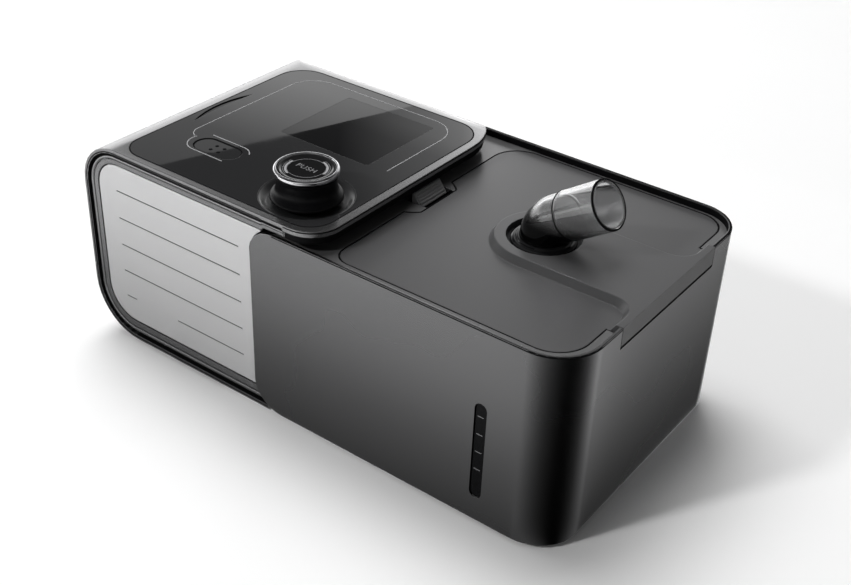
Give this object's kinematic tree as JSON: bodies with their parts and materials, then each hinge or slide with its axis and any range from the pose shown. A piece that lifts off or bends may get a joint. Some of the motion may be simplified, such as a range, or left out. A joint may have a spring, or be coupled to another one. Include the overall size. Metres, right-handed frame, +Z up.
{
  "type": "bedside breathing-therapy machine",
  "caption": "Bedside breathing-therapy machine: a blower with a turn-and-press knob and screen, a docked humidifier with a hinged lid, and a clear swivelling air outlet.",
  "frame": {"origin": "under the middle of the machine, on the surface it stands on", "axes": "+X to the right along the length, from the blower to the humidifier; +Y to the back; +Z up"},
  "size_m": [0.266, 0.145, 0.1309],
  "materials": {
    "case_dark": "satin dark case",
    "case_charcoal": "fine-grained charcoal",
    "panel_silver": "pale satin silver",
    "gloss_black": "polished black",
    "matt_black": "matt black",
    "bright_metal": "polished ring",
    "steel": "plain steel",
    "clear_smoke": "clear, faintly grey",
    "rubber_dark": "soft rubber",
    "foam_grey": "open-cell foam",
    "filter_white": "filter fleece",
    "board_green": "coated board",
    "inner_grey": "plain moulding"
  },
  "bodies": {
    "case": {"upper_shell": "case_dark", "lower_shell": "case_dark", "front_frame": "case_dark", "front_panel": "panel_silver", "rear_panel": "case_charcoal", "dock_plate": "matt_black", "dock_socket": "matt_black", "top_fascia": "gloss_black", "display_lens": "gloss_black", "display_module": "inner_grey", "status_lens": "gloss_black", "knob_bezel": "gloss_black", "encoder_body": "inner_grey", "mode_switch": "matt_black", "control_board": "board_green", "case_screw_front_left": "steel", "case_screw_front_right": "steel", "case_screw_back_left": "steel", "case_screw_back_right": "steel", "blower_foot_front": "rubber_dark", "blower_foot_back": "rubber_dark", "volute_lower": "inner_grey", "volute_upper": "inner_grey", "fan_mount": "rubber_dark", "motor_can": "steel", "outlet_duct": "inner_grey", "nozzle_gasket": "rubber_dark", "silencer_foam": "foam_grey", "air_filter": "filter_white", "filter_door_pin": "steel", "power_inlet": "matt_black", "power_pin": "steel", "card_reader": "steel"},
    "encoder": {"encoder_shaft": "steel"},
    "knob": {"knob_grip": "matt_black", "knob_ring": "bright_metal", "knob_cap": "gloss_black"},
    "mode": {"mode_button": "gloss_black"},
    "rotor": {"impeller": "inner_grey", "rotor_shaft": "steel"},
    "filter_door": {"filter_door": "case_charcoal"},
    "card": {"memory_card": "matt_black"},
    "humidifier": {"humidifier_shell": "case_charcoal", "humidifier_base": "case_charcoal", "humidifier_foot_front": "rubber_dark", "humidifier_foot_back": "rubber_dark", "level_window": "clear_smoke", "water_tank": "clear_smoke", "heater_plate": "steel", "heater_pad": "inner_grey", "inlet_tube": "inner_grey", "dock_plug": "matt_black", "hinge_pin": "steel", "catch_pin": "steel"},
    "catch": {"catch_lever": "case_charcoal"},
    "lid": {"lid": "case_charcoal", "lid_seal": "rubber_dark", "outlet_collar": "matt_black"},
    "elbow": {"elbow_bend": "clear_smoke", "outlet_cone": "clear_smoke"}
  },
  "joints": [
    {"name": "knob_press", "type": "slide", "parent": "case", "child": "encoder", "axis": [0, 0, -1], "range_m": [0, 0.0012], "stiffness_N_per_m": 800, "springref_m": -0.001},
    {"name": "knob_turn", "type": "hinge", "parent": "encoder", "child": "knob", "pos_m": [-0.0175, -0.0468, 0.107], "axis": [0, 0, 1], "continuous": true},
    {"name": "mode_press", "type": "slide", "parent": "case", "child": "mode", "axis": [0, 0, -1], "range_m": [0, 0.0008], "stiffness_N_per_m": 600, "springref_m": -0.001},
    {"name": "rotor_spin", "type": "hinge", "parent": "case", "child": "rotor", "pos_m": [-0.08298, 0, 0.062], "axis": [0, 0, 1], "continuous": true},
    {"name": "filter_door_hinge", "type": "hinge", "parent": "case", "child": "filter_door", "pos_m": [-0.093, 0.07145, 0.025], "axis": [-1, 0, 0], "range_deg": [0, 85]},
    {"name": "card_slide", "type": "slide", "parent": "case", "child": "card", "axis": [0, 1, 0], "range_m": [0, 0.02]},
    {"name": "humidifier_undock", "type": "slide", "parent": "case", "child": "humidifier", "axis": [1, 0, 0], "range_m": [0, 0.06]},
    {"name": "catch_rock", "type": "hinge", "parent": "humidifier", "child": "catch", "pos_m": [0.01, 0.0038, 0.0844], "axis": [0, -1, 0], "range_deg": [0, 8], "stiffness_Nm_per_rad": 0.05, "springref_deg": -5.73},
    {"name": "lid_hinge", "type": "hinge", "parent": "humidifier", "child": "lid", "pos_m": [0.1312, 0.0022, 0.0926], "axis": [0, 1, 0], "range_deg": [0, 95]},
    {"name": "elbow_swivel", "type": "hinge", "parent": "lid", "child": "elbow", "pos_m": [0.07249, 0.0022, 0.094], "axis": [0, 0, 1], "continuous": true}
  ]
}
